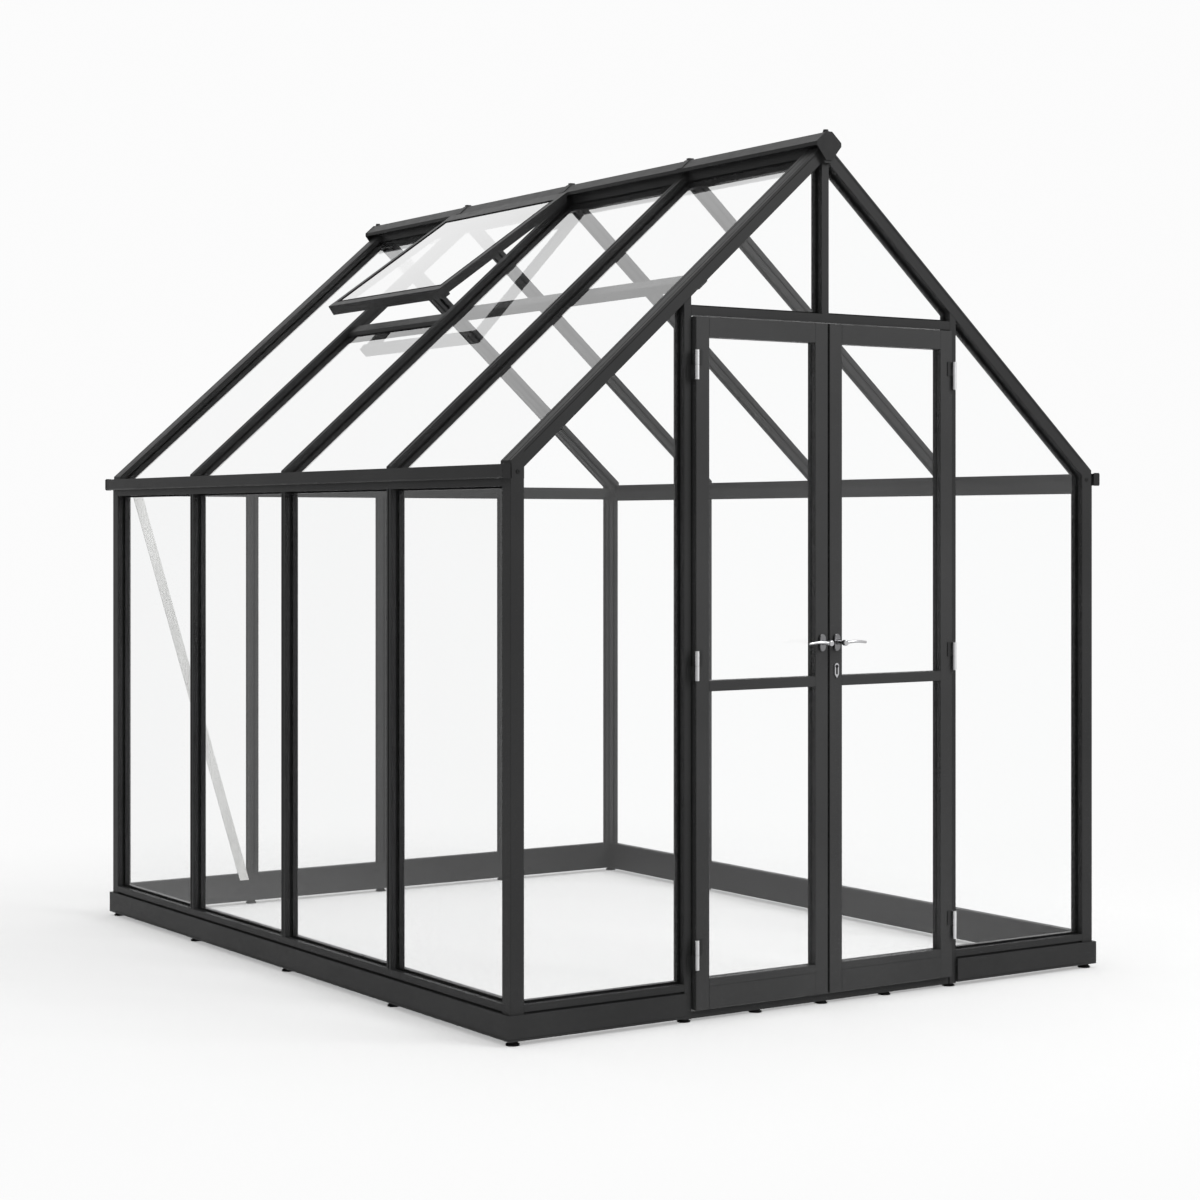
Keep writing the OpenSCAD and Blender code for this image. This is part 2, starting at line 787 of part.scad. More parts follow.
// leaf rail between the stiles
module leaf_rail(z0, z1) {
    along_x(chamfered(y_leaf, y_leaf + leaf_t, z0, z1, edge), leaf_gap / 2 + stile_w,
        leaf_out - stile_w);
}

module door_rails() {
    difference() {
        union() {
            leaf_rail(leaf_high - head_h, leaf_high);
            leaf_rail(mid_z - mid_h, mid_z);
            leaf_rail(leaf_low, leaf_low + kick_h);
        }
        block(leaf_gap / 2, leaf_out, glass_y, glass_y + glass_t, leaf_low + kick_h - groove,
            mid_z - mid_h + groove);
        block(leaf_gap / 2, leaf_out, glass_y, glass_y + glass_t, mid_z - groove,
            leaf_high - head_h + groove);
        block(leaf_gap / 2, leaf_out, y_leaf - 1, y_leaf + edge, leaf_low + kick_h - bead_h - edge,
            leaf_low + kick_h - bead_h);
    }
}

module door_glass() {
    block(leaf_gap / 2 + stile_w - groove, leaf_out - stile_w + groove, glass_y, glass_y + glass_t,
        leaf_low + kick_h - groove, mid_z - mid_h + groove);
    block(leaf_gap / 2 + stile_w - groove, leaf_out - stile_w + groove, glass_y, glass_y + glass_t,
        mid_z - groove, leaf_high - head_h + groove);
}

module hinge_leaves() {
    for (z = hinge_zs)
        translate([0, 0, z])
            difference() {
                union() {
                    translate([hinge_x, hinge_y, 0.5])
                        cylinder(h = hinge_l / 2 - 0.5, d = knuckle_d);
                    block(hinge_x - plate_w - 4, hinge_x, y_leaf - plate_t, y_leaf, 0.5, hinge_l / 2);
                    block(hinge_x - 7, hinge_x, hinge_y, y_leaf, 0.5, hinge_l / 2);
                }
                translate([hinge_x, hinge_y, 0])
                    cylinder(h = hinge_l, d = pin_d + 2 * pin_play);
            }
}

// upright oval
module oval(w, h) {
    square([w, h - w], center = true);
    translate([0, (h - w) / 2])
        circle(d = w);
    translate([0, (w - h) / 2])
        circle(d = w);
}

// stepped oval rose with a bore for the lever neck
module rose() {
    difference() {
        translate([lever_x, y_leaf, lever_z])
            rotate([90, 0, 0]) {
                linear_extrude(rose_t - 3)
                    oval(rose_w, rose_h);
                linear_extrude(rose_t)
                    oval(rose_w - 4, rose_h - 4);
            }
        translate([lever_x, y_leaf + 1, lever_z])
            rotate([90, 0, 0])
                cylinder(h = rose_t + 2, d = neck_d + 1);
    }
}

// lever handle with a bowed grip pointing away from the meeting edge
module lever() {
    r = lever_h / 2;
    translate([lever_x, y_leaf + 20, lever_z])
        rotate([90, 0, 0])
            cylinder(h = 20 + rose_t + neck_l, d = neck_d);
    translate([lever_x, rose_y - neck_l, lever_z])
        rotate([90, 0, 0]) {
            cylinder(h = boss_l - 2, d = boss_d);
            translate([0, 0, boss_l - 2])
                cylinder(h = 2, d1 = boss_d, d2 = boss_d - 4);
            translate([0, 0, 3])
                linear_extrude(boss_l - 6)
                    polygon([[0, -r], [lever_l / 3, lever_bow - r], [lever_l * 2 / 3, lever_bow - r],
                        [lever_l - r, -r], [lever_l, -r / 2], [lever_l, r / 2], [lever_l - r, r],
                        [lever_l * 2 / 3, lever_bow + r], [lever_l / 3, lever_bow + r], [0, r]]);
        }
}

module left_door_stiles() {
    color("#2b2c2e")
        mirror([1, 0, 0])
            door_stiles();
}

module left_door_rails() {
    color("#2b2c2e")
        mirror([1, 0, 0])
            door_rails();
}

module left_door_glass() {
    color("#c8d8dc")
        mirror([1, 0, 0])
            door_glass();
}

module left_hinge_leaves() {
    color("#b9bbbd")
        mirror([1, 0, 0])
            hinge_leaves();
}

module left_rose() {
    color("#c4c6c8")
        mirror([1, 0, 0])
            rose();
}

module left_lever() {
    color("#c4c6c8")
        mirror([1, 0, 0])
            lever();
}

module right_door_stiles() {
    color("#2b2c2e")
        door_stiles();
}

module right_door_rails() {
    color("#2b2c2e")
        door_rails();
}

module right_door_glass() {
    color("#c8d8dc")
        door_glass();
}

module right_hinge_leaves() {
    color("#b9bbbd")
        hinge_leaves();
}

module right_rose() {
    color("#c4c6c8")
        rose();
}

module right_lever() {
    color("#c4c6c8")
        lever();
}

module lock_plate() {
    color("#c4c6c8")
        translate([lever_x, y_leaf, lever_z - lock_drop])
            rotate([90, 0, 0]) {
                linear_extrude(4) {
                    polygon([[-lock_w / 2, (lock_h - lock_w) / 2], [lock_w / 2, (lock_h - lock_w) / 2],
                        [lock_w / 2, -lock_h / 4], [0, -lock_h / 2], [-lock_w / 2, -lock_h / 4]]);
                    translate([0, (lock_h - lock_w) / 2])
                        circle(d = lock_w);
                }
                linear_extrude(6) {
                    translate([0, (lock_h - lock_w) / 2 - 2])
                        circle(d = 10);
                    translate([-2, -lock_h / 4])
                        square([4, lock_h / 2]);
                }
            }
}

levelling_feet();
front_base_rails();
side_base_rails();
back_base_rail();
jamb_feet();
door_threshold();
corner_posts();
wall_studs();
side_sill_rails();
end_sill_rails();
wall_top_rails();
eave_beams();
gutters();
gutter_end_caps();
back_eave_tie();
gable_rafters();
roof_bars();
ridge_beam();
ridge_end_caps();
ridge_straps();
door_jambs();
door_header();
gable_mullion();
vent_stiles();
vent_rails();
vent_glass();
vent_sill();
roof_purlin();
wall_brace();
wall_glass();
front_glass();
gable_glass();
roof_glass();
frame_hinges();
left_door_stiles();
left_door_rails();
left_door_glass();
left_hinge_leaves();
left_rose();
left_lever();
right_door_stiles();
right_door_rails();
right_door_glass();
right_hinge_leaves();
right_rose();
right_lever();
lock_plate();
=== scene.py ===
"""Looks of a walk-in garden greenhouse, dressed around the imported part. Lengths are in metres."""

import json
import logging
import math
from dataclasses import dataclass, field
from enum import Enum
from typing import Callable, Iterable, Sequence

import bpy
from mathutils import Matrix, Vector


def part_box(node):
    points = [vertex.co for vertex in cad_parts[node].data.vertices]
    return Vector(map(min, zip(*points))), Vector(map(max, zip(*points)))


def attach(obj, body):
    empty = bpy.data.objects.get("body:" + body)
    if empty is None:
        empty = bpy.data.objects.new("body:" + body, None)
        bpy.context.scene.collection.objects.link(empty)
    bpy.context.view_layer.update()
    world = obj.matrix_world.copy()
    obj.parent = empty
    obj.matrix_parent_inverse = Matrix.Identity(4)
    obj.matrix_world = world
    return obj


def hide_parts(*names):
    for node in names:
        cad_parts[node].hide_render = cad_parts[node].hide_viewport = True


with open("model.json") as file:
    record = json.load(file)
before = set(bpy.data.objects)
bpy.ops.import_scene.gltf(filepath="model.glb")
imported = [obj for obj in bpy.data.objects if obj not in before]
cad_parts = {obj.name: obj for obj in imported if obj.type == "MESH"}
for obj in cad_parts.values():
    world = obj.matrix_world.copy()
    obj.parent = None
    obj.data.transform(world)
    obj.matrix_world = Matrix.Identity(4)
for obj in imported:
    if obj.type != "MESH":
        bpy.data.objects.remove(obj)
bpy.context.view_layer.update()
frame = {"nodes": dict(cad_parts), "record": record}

LOG = logging.getLogger("greenhouse")
Colour = tuple[float, float, float]
Point = tuple[float, float, float]
MM = 0.001
# points closer than this are one point
WELD = 0.00001
# a point inside the house, which the outer faces look away from
MIDDLE = (0.0, 0.026, 1.2)
# a face looks straight along an axis when this share of its normal does
STRAIGHT = 0.9
QUARTER_TURN = math.radians(90)
FLIP_X = Matrix.Scale(-1.0, 4, (1.0, 0.0, 0.0))
FLIP_Y = Matrix.Scale(-1.0, 4, (0.0, 1.0, 0.0))


class Side(Enum):
    """The two leaves of the doorway, as the nodes and bodies spell them."""

    LEFT = "left"
    RIGHT = "right"


class Facing(Enum):
    """Which broad faces of a pane carry a gasket."""

    OUT = "out"
    UP = "up"
    FRONT_AND_BACK = "front_and_back"


class NodeGraph:
    """A material's node tree with short calls for adding and joining nodes.

    Attributes:
        NOISE_SPAN: values between which most of a noise lies.
        RAMP_SPAN: noise values of the two tones of a colour blend.
    """

    NOISE_SPAN = (0.3, 0.7)
    RAMP_SPAN = (0.32, 0.68)

    def __init__(self, name: str) -> None:
        """Starts an empty material.

        Args:
            name: name of the new material.
        """
        self.material = bpy.data.materials.new(name)
        self.material.use_nodes = True
        self.tree = self.material.node_tree
        self.tree.nodes.clear()
        self.out = self.add("ShaderNodeOutputMaterial")

    def add(self, kind: str, **values: object) -> bpy.types.Node:
        """Adds a node.

        Args:
            kind: type name of the node.
            values: input values by socket name, with spaces written as underscores.

        Returns:
            The new node.
        """
        node = self.tree.nodes.new(kind)
        for key, value in values.items():
            socket = node.inputs.get(key.replace("_", " "))
            if socket is None:
                setattr(node, key, value)
            else:
                socket.default_value = value
        return node

    def join(self, source: bpy.types.NodeSocket, target: bpy.types.NodeSocket) -> None:
        """Links an output to an input."""
        self.tree.links.new(source, target)

    def place(self, stretch: Point = (1.0, 1.0, 1.0)) -> bpy.types.NodeSocket:
        """Object coordinates of the surface.

        Args:
            stretch: scale of the pattern along each axis.

        Returns:
            The vector socket that a texture reads.
        """
        coordinates = self.add("ShaderNodeTexCoord")
        mapping = self.add("ShaderNodeMapping")
        mapping.inputs["Scale"].default_value = stretch
        self.join(coordinates.outputs["Object"], mapping.inputs["Vector"])
        return mapping.outputs["Vector"]

    def noise(self, vector: bpy.types.NodeSocket, scale: float, detail: float) -> bpy.types.NodeSocket:
        """A noise value over the surface.

        Args:
            vector: coordinates to read.
            scale: how many blotches there are in a metre.
            detail: number of finer layers.

        Returns:
            The noise value's socket.
        """
        node = self.add("ShaderNodeTexNoise", Scale=scale, Detail=detail)
        self.join(vector, node.inputs["Vector"])
        return node.outputs["Fac"]

    def spread(self, value: bpy.types.NodeSocket, low: float, high: float) -> bpy.types.NodeSocket:
        """Maps the middle of a noise onto a range.

        Args:
            value: noise value.
            low: result where the noise is low.
            high: result where the noise is high.

        Returns:
            The mapped value's socket.
        """
        least, most = self.NOISE_SPAN
        node = self.add("ShaderNodeMapRange", From_Min=least, From_Max=most, To_Min=low, To_Max=high)
        self.join(value, node.inputs["Value"])
        return node.outputs["Result"]

    def between(self, value: bpy.types.NodeSocket, dark: Colour, light: Colour) -> bpy.types.NodeSocket:
        """Blends two colours by a noise.

        Args:
            value: noise value.
            dark: colour where the noise is low.
            light: colour where the noise is high.

        Returns:
            The colour socket.
        """
        ramp = self.add("ShaderNodeValToRGB")
        for stop, place, tone in zip(ramp.color_ramp.elements, self.RAMP_SPAN, (dark, light)):
            stop.position = place
            stop.color = (*tone, 1.0)
        self.join(value, ramp.inputs["Fac"])
        return ramp.outputs["Color"]

    def relief(self, value: bpy.types.NodeSocket, strength: float, height: float) -> bpy.types.NodeSocket:
        """Turns a noise into fine surface relief.

        Args:
            value: noise value.
            strength: share of the relief that shows.
            height: height of the relief.

        Returns:
            The normal socket.
        """
        bump = self.add("ShaderNodeBump", Strength=strength, Distance=height)
        self.join(value, bump.inputs["Height"])
        return bump.outputs["Normal"]


@dataclass(frozen=True)
class CoatedFinish:
    """Opaque finish with soft colour drift, uneven gloss and a fine grain.

    Attributes:
        name: name of the material.
        dark: darkest tone.
        light: lightest tone.
        gloss: lowest and highest roughness.
        grain: grains in a metre.
        relief: height of the grain.
        metal: share of bare metal.
        specular: strength of the plain reflection.
        stretch: scale of the pattern along each axis, for brushed metal.
        DRIFT: blotches in a metre and layers of the colour drift.
        PATCHES: blotches in a metre and layers of the uneven gloss.
        GRAIN_LAYERS: layers of the grain.
        RELIEF_SHARE: share of the grain's relief that shows.
    """

    DRIFT = (2.3, 4.0)
    PATCHES = (31.0, 3.0)
    GRAIN_LAYERS = 2.0
    RELIEF_SHARE = 0.08

    name: str
    dark: Colour
    light: Colour
    gloss: tuple[float, float]
    grain: float
    relief: float
    metal: float = 0.0
    specular: float = 0.5
    stretch: Point = (1.0, 1.0, 1.0)

    def make(self) -> bpy.types.Material:
        """Builds the material.

        Returns:
            The new material.
        """
        graph = NodeGraph(self.name)
        shader = graph.add("ShaderNodeBsdfPrincipled", Metallic=self.metal)
        shader.inputs["Specular IOR Level"].default_value = self.specular
        place = graph.place(self.stretch)
        drift = graph.noise(place, *self.DRIFT)
        graph.join(graph.between(drift, self.dark, self.light), shader.inputs["Base Color"])
        patches = graph.noise(place, *self.PATCHES)
        graph.join(graph.spread(patches, *self.gloss), shader.inputs["Roughness"])
        grain = graph.noise(place, self.grain, self.GRAIN_LAYERS)
        graph.join(graph.relief(grain, self.RELIEF_SHARE, self.relief), shader.inputs["Normal"])
        graph.join(shader.outputs["BSDF"], graph.out.inputs["Surface"])
        return graph.material


@dataclass(frozen=True)
class PaneFinish:
    """Clear glass that mirrors the room at a slant and carries a faint haze.

    Attributes:
        name: name of the material.
        tint: colour that passes straight through.
        sheen: colour of the mirrored light.
        bend: index of refraction behind the mirror share.
        faces: strength of the mirror, for two faces taken at one.
        haze: lowest and highest share of haze.
        blur: roughness of the mirrored light.
        MIST: blotches in a metre and layers of the haze.
    """

    MIST = (1.7, 3.0)

    name: str
    tint: Colour
    sheen: Colour
    bend: float
    faces: float
    haze: tuple[float, float]
    blur: float

    def make(self) -> bpy.types.Material:
        """Builds the material.

        Returns:
            The new material.
        """
        graph = NodeGraph(self.name)
        clear = graph.add("ShaderNodeBsdfTransparent", Color=(*self.tint, 1.0))
        mirror = graph.add("ShaderNodeBsdfPrincipled", Metallic=1.0, Roughness=self.blur)
        mirror.inputs["Base Color"].default_value = (*self.sheen, 1.0)
        slant = graph.add("ShaderNodeFresnel", IOR=self.bend)
        surface = graph.add("ShaderNodeNewGeometry")
        away = graph.add("ShaderNodeVectorMath", operation="SUBTRACT")
        away.inputs[1].default_value = MIDDLE
        graph.join(surface.outputs["Position"], away.inputs[0])
        look = graph.add("ShaderNodeVectorMath", operation="DOT_PRODUCT")
        graph.join(away.outputs["Vector"], look.inputs[0])
        graph.join(surface.outputs["True Normal"], look.inputs[1])
        facing_out = graph.add("ShaderNodeMath", operation="GREATER_THAN")
        facing_out.inputs[1].default_value = 0.0
        graph.join(look.outputs["Value"], facing_out.inputs[0])
        outer = graph.add("ShaderNodeMath", operation="SUBTRACT", use_clamp=True)
        graph.join(facing_out.outputs["Value"], outer.inputs[0])
        graph.join(surface.outputs["Backfacing"], outer.inputs[1])
        mist = graph.noise(graph.place(), *self.MIST)
        share = graph.add("ShaderNodeMath", operation="MULTIPLY_ADD")
        share.inputs[1].default_value = self.faces
        graph.join(slant.outputs["Fac"], share.inputs[0])
        graph.join(graph.spread(mist, *self.haze), share.inputs[2])
        shown = graph.add("ShaderNodeMath", operation="MULTIPLY", use_clamp=True)
        graph.join(share.outputs["Value"], shown.inputs[0])
        graph.join(outer.outputs["Value"], shown.inputs[1])
        mix = graph.add("ShaderNodeMixShader")
        graph.join(shown.outputs["Value"], mix.inputs["Fac"])
        graph.join(clear.outputs["BSDF"], mix.inputs[1])
        graph.join(mirror.outputs["BSDF"], mix.inputs[2])
        graph.join(mix.outputs["Shader"], graph.out.inputs["Surface"])
        return graph.material


@dataclass
class Palette:
    """The finishes of the greenhouse, made once and handed out by name.

    Attributes:
        powder: coat of the frame.
        leaf_powder: lighter coat of the door leaves.
        moulded: end caps, bolt heads and key guide.
        rubber: feet, seals, and the groove floors of the glazing bars, where the black seal also paints
            shade into the groove.
        zinc: barrels of the hinges.
        chrome: levers and lock plate.
        smoked: darker copy of the chrome for the roses of the levers, painted shade for the dark room that
            they mirror.
        mill: bare flat brace.
        pane: wall, gable and door glass.
        roof_pane: roof glass, which mirrors more of the room.
        vent_pane: glass of the open vent, which mirrors most.
        made: materials made so far.
    """

    powder: CoatedFinish = CoatedFinish(
        "black_powder_coat", dark=(0.026, 0.0261, 0.0263), light=(0.0325, 0.0326, 0.0329),
        gloss=(0.32, 0.4), grain=260.0, relief=0.00003, specular=0.1,
    )
    leaf_powder: CoatedFinish = CoatedFinish(
        "black_door_coat", dark=(0.037, 0.0371, 0.0373), light=(0.0455, 0.0456, 0.0459),
        gloss=(0.32, 0.4), grain=260.0, relief=0.00003, specular=0.12,
    )
    moulded: CoatedFinish = CoatedFinish(
        "moulded_black_cap", dark=(0.014, 0.014, 0.0143), light=(0.019, 0.019, 0.0193),
        gloss=(0.42, 0.52), grain=260.0, relief=0.00003, specular=0.12,
    )
    # Black seal finish; on the groove floors of the bars it is also painted shade.
    rubber: CoatedFinish = CoatedFinish(
        "black_seal_and_groove_shade", dark=(0.005, 0.005, 0.005), light=(0.008, 0.008, 0.0081),
        gloss=(0.68, 0.82), grain=300.0, relief=0.00003, specular=0.1,
    )
    zinc: CoatedFinish = CoatedFinish(
        "bright_zinc", dark=(0.6, 0.6, 0.61), light=(0.74, 0.74, 0.75),
        gloss=(0.22, 0.34), grain=900.0, relief=0.00006, metal=1.0,
    )
    chrome: CoatedFinish = CoatedFinish(
        "polished_chrome", dark=(0.4, 0.4, 0.41), light=(0.52, 0.52, 0.53),
        gloss=(0.05, 0.12), grain=1200.0, relief=0.00003, metal=1.0,
    )
    # Darker copy of the chrome: painted shade that stands in for the dark reflections on the roses.
    smoked: CoatedFinish = CoatedFinish(
        "rose_chrome_painted_dark", dark=(0.14, 0.14, 0.145), light=(0.22, 0.22, 0.225),
        gloss=(0.08, 0.16), grain=1200.0, relief=0.00003, metal=1.0,
    )
    mill: CoatedFinish = CoatedFinish(
        "mill_aluminium", dark=(0.62, 0.62, 0.61), light=(0.74, 0.74, 0.73),
        gloss=(0.36, 0.5), grain=700.0, relief=0.00006, metal=0.85, stretch=(3.0, 3.0, 0.12),
    )
    pane: PaneFinish = PaneFinish(
        "wall_glass", tint=(0.997, 0.998, 0.998), sheen=(0.99, 0.992, 0.992),
        bend=1.5, faces=1.0, haze=(0.0, 0.015), blur=0.03,
    )
    roof_pane: PaneFinish = PaneFinish(
        "roof_glass", tint=(0.997, 0.998, 0.998), sheen=(0.99, 0.992, 0.992),
        bend=1.5, faces=1.6, haze=(0.0, 0.02), blur=0.02,
    )
    vent_pane: PaneFinish = PaneFinish(
        "vent_glass", tint=(0.997, 0.998, 0.998), sheen=(0.99, 0.992, 0.992),
        bend=1.5, faces=2.4, haze=(0.0, 0.02), blur=0.02,
    )
    made: dict[str, bpy.types.Material] = field(default_factory=dict)

    def get(self, word: str) -> bpy.types.Material:
        """The material of a finish.

        Args:
            word: field name of the finish.

        Returns:
            The material, made on the first call.
        """
        if word not in self.made:
            self.made[word] = getattr(self, word).make()
        return self.made[word]


class Bench:
    """Modelling steps shared by the pieces, in the order that they are done by hand.

    Attributes:
        SOFT_EDGE: greatest angle of an edge that is shaded smooth.
        SHARP_EDGE: least angle of an edge that is bevelled.
    """

    SOFT_EDGE = math.radians(32)
    SHARP_EDGE = math.radians(40)

    @staticmethod
    def clear() -> None:
        """Leaves edit mode and drops the selection."""
        if bpy.context.object is not None and bpy.context.object.mode != "OBJECT":
            bpy.ops.object.mode_set(mode="OBJECT")
        bpy.ops.object.select_all(action="DESELECT")

    @staticmethod
    def take(piece: bpy.types.Object) -> None:
        """Makes a piece the only selected one.

        Args:
            piece: object to select.
        """
        Bench.clear()
        piece.select_set(True)
        bpy.context.view_layer.objects.active = piece

    @staticmethod
    def faces_where(piece: bpy.types.Object, test: Callable[[bpy.types.MeshPolygon], bool]) -> None:
        """Selects the faces that pass a test and opens edit mode.

        Args:
            piece: object whose faces are looked at.
            test: True for a face to select.
        """
        Bench.take(piece)
        bpy.ops.object.mode_set(mode="EDIT")
        bpy.ops.mesh.select_mode(type="FACE")
        bpy.ops.mesh.select_all(action="DESELECT")
        bpy.ops.object.mode_set(mode="OBJECT")
        for face in piece.data.polygons:
            face.select = test(face)
        bpy.ops.object.mode_set(mode="EDIT")

    @staticmethod
    def apply(piece: bpy.types.Object, kind: str, **values: object) -> None:
        """Adds a modifier and applies it.

        Args:
            piece: object to change.
            kind: type of the modifier.
            values: settings of the modifier.
        """
        Bench.take(piece)
        modifier = piece.modifiers.new(kind.lower(), kind)
        for key, value in values.items():
            setattr(modifier, key, value)
        bpy.ops.object.modifier_apply(modifier=modifier.name)

    @staticmethod
    def bevel(piece: bpy.types.Object, width: float, segments: int) -> None:
        """Rounds the sharp edges of a piece.

        Args:
            piece: object to change.
            width: width of the rounding.
            segments: faces across the rounding.
        """
        Bench.apply(
            piece, "BEVEL", width=width, segments=segments,
            limit_method="ANGLE", angle_limit=Bench.SHARP_EDGE,
        )

    @staticmethod
    def outward(piece: bpy.types.Object) -> None:
        """Merges doubles and points every face outwards.

        Args:
            piece: object to change.
        """
        Bench.take(piece)
        bpy.ops.object.mode_set(mode="EDIT")
        bpy.ops.mesh.select_all(action="SELECT")
        bpy.ops.mesh.remove_doubles(threshold=WELD)
        bpy.ops.mesh.normals_make_consistent(inside=False)
        bpy.ops.object.mode_set(mode="OBJECT")

    @staticmethod
    def settle(piece: bpy.types.Object) -> None:
        """Puts the piece's place into its mesh."""
        Bench.take(piece)
        bpy.ops.object.transform_apply(location=True, rotation=True, scale=True)

    @staticmethod
    def merge(parts: Sequence[bpy.types.Object], name: str) -> bpy.types.Object:
        """Joins parts into one piece.

        Args:
            parts: objects to join.
            name: name of the joined piece.

        Returns:
            The joined piece.
        """
        Bench.clear()
        for part in parts:
            part.select_set(True)
        bpy.context.view_layer.objects.active = parts[0]
        bpy.ops.object.join()
        piece = bpy.context.object
        piece.name = name
        piece.data.name = name
        return piece

    @staticmethod
    def copy_to(piece: bpy.types.Object, move: Matrix) -> bpy.types.Object:
        """Copies a piece with its own mesh.

        Args:
            piece: object to copy.
            move: where the copy goes, put into its mesh.

        Returns:
            The copy.
        """
        twin = piece.copy()
        twin.data = piece.data.copy()
        twin.data.transform(move)
        bpy.context.scene.collection.objects.link(twin)
        return twin

    @staticmethod
    def finish(piece: bpy.types.Object, material: bpy.types.Material, body: str, slot: str) -> None:
        """Dresses a finished piece and hangs it on its body.

        Args:
            piece: finished object.
            material: its finish.
            body: body that it moves with.
            slot: material slot of the record; not used.
        """
        piece.data.materials.clear()
        piece.data.materials.append(material)
        Bench.take(piece)
        bpy.ops.object.shade_smooth_by_angle(angle=Bench.SOFT_EDGE)
        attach(piece, body)
        LOG.info("%s: %d faces on %s", piece.name, len(piece.data.polygons), body)


@dataclass
class CadDress:
    """Finishes for the nodes that keep their own shape.

    Attributes:
        palette: the finishes.
        slots: finish for each material slot of the record.
        special: finish of the nodes that differ from the rest of their slot.
        groove: least and greatest depth of the groove along a glazing bar.
        barrel: radius of a hinge's bright barrel.
        key_step: height of the raised key guide over the lock plate.
        FACES_OUT: least distance from the middle, along its normal, of a face that looks out.
        ROUND_SLACK: share by which a barrel's faces may pass its radius.
    """

    FACES_OUT = 0.3
    ROUND_SLACK = 1.05

    palette: Palette
    slots: dict[str, str] = field(
        default_factory=lambda: {
            "frame": "powder",
            "end_caps": "moulded",
            "feet": "rubber",
            "glass": "pane",
            "hinge_metal": "zinc",
            "handle_metal": "chrome",
            "brace_metal": "mill",
        }
    )
    special: dict[str, str] = field(
        default_factory=lambda: {
            "roof_glass": "roof_pane",
            "vent_glass": "vent_pane",
            "left_door_stiles": "leaf_powder",
            "left_door_rails": "leaf_powder",
            "right_door_stiles": "leaf_powder",
            "right_door_rails": "leaf_powder",
            # The roses take the darker chrome, painted shade for their dark reflections.
            "left_rose": "smoked",
            "right_rose": "smoked",
        }
    )
    groove: tuple[float, float] = (2 * MM, 4 * MM)
    barrel: float = 7 * MM
    key_step: float = 1.5 * MM

    def dress(self) -> None:
        """Gives every node the finish of its slot and picks out a few faces."""
        for row in frame["record"]["subparts"]:
            node = frame["nodes"][row["node"]]
            finish = self.special.get(row["node"], self.slots[row["material_slot"]])
            node.data.materials.clear()
            node.data.materials.append(self.palette.get(finish))
            LOG.info("%s: %s", row["node"], row["material_slot"])
        # The groove floors of the bars take the black seal finish: a real glazing seal, and painted shade
        # down in the groove.
        for bars in ("wall_studs", "roof_bars"):
            floors = self.groove_floors(bars)
            self.pick(bars, "rubber", lambda face, floors=floors: face.index in floors)
        low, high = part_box("right_hinge_leaves")
        axis = Vector((high.x - self.barrel, low.y + self.barrel))
        for hinge in ("frame_hinges", "left_hinge_leaves", "right_hinge_leaves"):
            self.pick(hinge, "powder", lambda face: not self.on_barrel(face, axis))
        lock_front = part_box("lock_plate")[0].y
        self.pick("lock_plate", "moulded", lambda face: face.center.y < lock_front + self.key_step)

    def groove_floors(self, node: str) -> set[int]:
        """Finds the floor of the groove along the outer face of each glazing bar, which takes the black
        seal finish, both as a seal and as painted shade in the groove.

        Args:
            node: name of the bars' node.

        Returns:
            Numbers of the faces that lie a groove's depth under the outermost face that looks the same way.
        """
        faces = frame["nodes"][node].data.polygons
        reach: dict[tuple[float, ...], float] = {}
        ways = {face.index: tuple(round(part, 1) + 0.0 for part in face.normal) for face in faces}
        for face in faces:
            out = face.normal.dot(face.center)
            reach[ways[face.index]] = max(out, reach.get(ways[face.index], out))
        low, high = self.groove
        return {
            face.index for face in faces
            if low < reach[ways[face.index]] - face.normal.dot(face.center) < high and self.looks_out(face)
        }

    def looks_out(self, face: bpy.types.MeshPolygon) -> bool:
        """Whether a face looks away from the middle of the house."""
        return face.normal.dot(face.center - Vector(MIDDLE)) > self.FACES_OUT

    def on_barrel(self, face: bpy.types.MeshPolygon, axis: Vector) -> bool:
        """Whether a face belongs to the round barrel of a hinge.

        Args:
            face: face of the hinge.
            axis: place of the right hinge axis on the floor plan.

        Returns:
            True for the barrel and its pin.
        """
        spot = Vector((abs(face.center.x), face.center.y))
        return (spot - axis).length < self.ROUND_SLACK * self.barrel

    def pick(self, node: str, finish: str, test: Callable[[bpy.types.MeshPolygon], bool]) -> None:
        """Gives some faces of a node a second finish.

        Args:
            node: name of the node.
            finish: field name of the finish.
            test: True for a face that takes it.
        """
        mesh = frame["nodes"][node].data
        mesh.materials.append(self.palette.get(finish))
        for face in mesh.polygons:
            face.material_index = 1 if test(face) else 0


